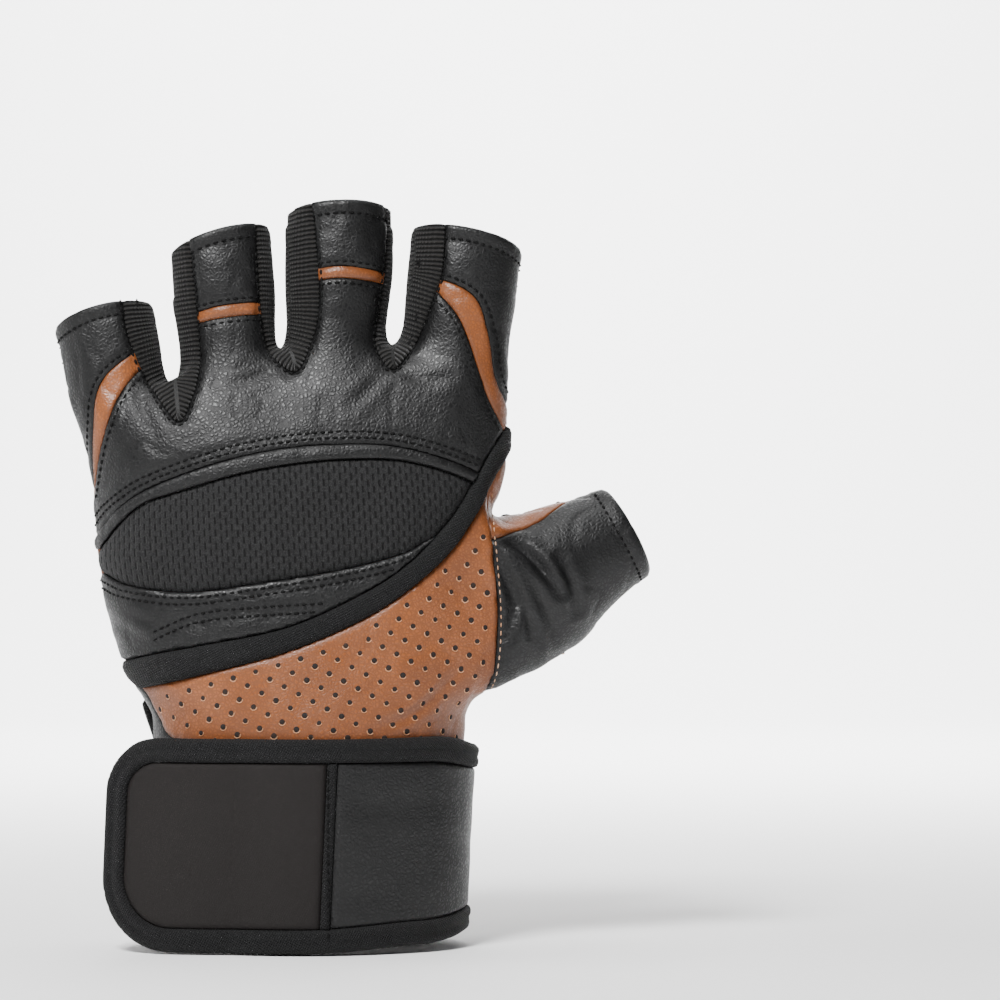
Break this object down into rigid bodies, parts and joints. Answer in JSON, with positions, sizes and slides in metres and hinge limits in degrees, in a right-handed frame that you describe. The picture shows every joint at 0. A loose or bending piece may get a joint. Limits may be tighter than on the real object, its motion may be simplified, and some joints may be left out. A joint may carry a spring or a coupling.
{
  "type": "weightlifting glove",
  "caption": "Half-finger left-hand lifting glove in black and tan leather with knitted gussets, padded palm, knuckle mesh and a wide wrist wrap.",
  "frame": {"origin": "middle of the wrist opening, at the cuff's lower edge", "axes": "+Z from the wrist opening to the fingers, -Y out of the back of the hand, +Y out of the palm, +X to the thumb's side"},
  "size_m": [0.1495, 0.0611, 0.1846],
  "materials": {
    "black_leather": "soft pebbled leather with a low sheen",
    "tan_leather": "perforated tan leather with a low sheen",
    "knit": "ribbed elastic knit, matt",
    "net_cloth": "padded spacer mesh, matt",
    "pad": "smooth embossed grip leather, satin",
    "tape": "folded woven tape, matt",
    "patch": "smooth dark patch, matt",
    "hook": "hook tape, rough"
  },
  "bodies": {
    "root": {"knit_gusset_little_ring": "knit", "knit_gusset_ring_middle": "knit", "knit_gusset_middle_index": "knit", "little_finger_back": "black_leather", "little_finger_inlay": "tan_leather", "ring_finger_back": "black_leather", "ring_finger_inlay": "tan_leather", "middle_finger_back": "black_leather", "middle_finger_inlay": "tan_leather", "index_finger_back": "black_leather", "index_finger_inlay": "tan_leather", "back_panel": "black_leather", "knuckle_roll": "black_leather", "knuckle_mesh": "net_cloth", "lower_back_band": "black_leather", "back_binding": "tape", "wrist_back_panel": "tan_leather", "thumb_stall": "black_leather", "thumb_gusset": "tan_leather", "finger_front_panel": "black_leather", "palm_panel": "tan_leather", "thumb_base_panel": "tan_leather", "thumb_seam_piping": "tape", "palm_pad_upper": "pad", "palm_pad_middle": "pad", "palm_pad_lower": "pad", "palm_pad_heel": "pad", "thumb_pad_base": "pad", "thumb_pad_tip": "pad", "oval_pad_index_upper": "pad", "oval_pad_index_lower": "pad", "oval_pad_middle_upper": "pad", "oval_pad_middle_lower": "pad", "oval_pad_ring_upper": "pad", "oval_pad_ring_lower": "pad", "oval_pad_little": "pad", "wrist_cuff": "black_leather", "strap_binding": "tape", "wrist_strap": "black_leather", "strap_seam_strip": "tape", "strap_patch": "patch", "hook_tape": "hook"}
  },
  "joints": []
}
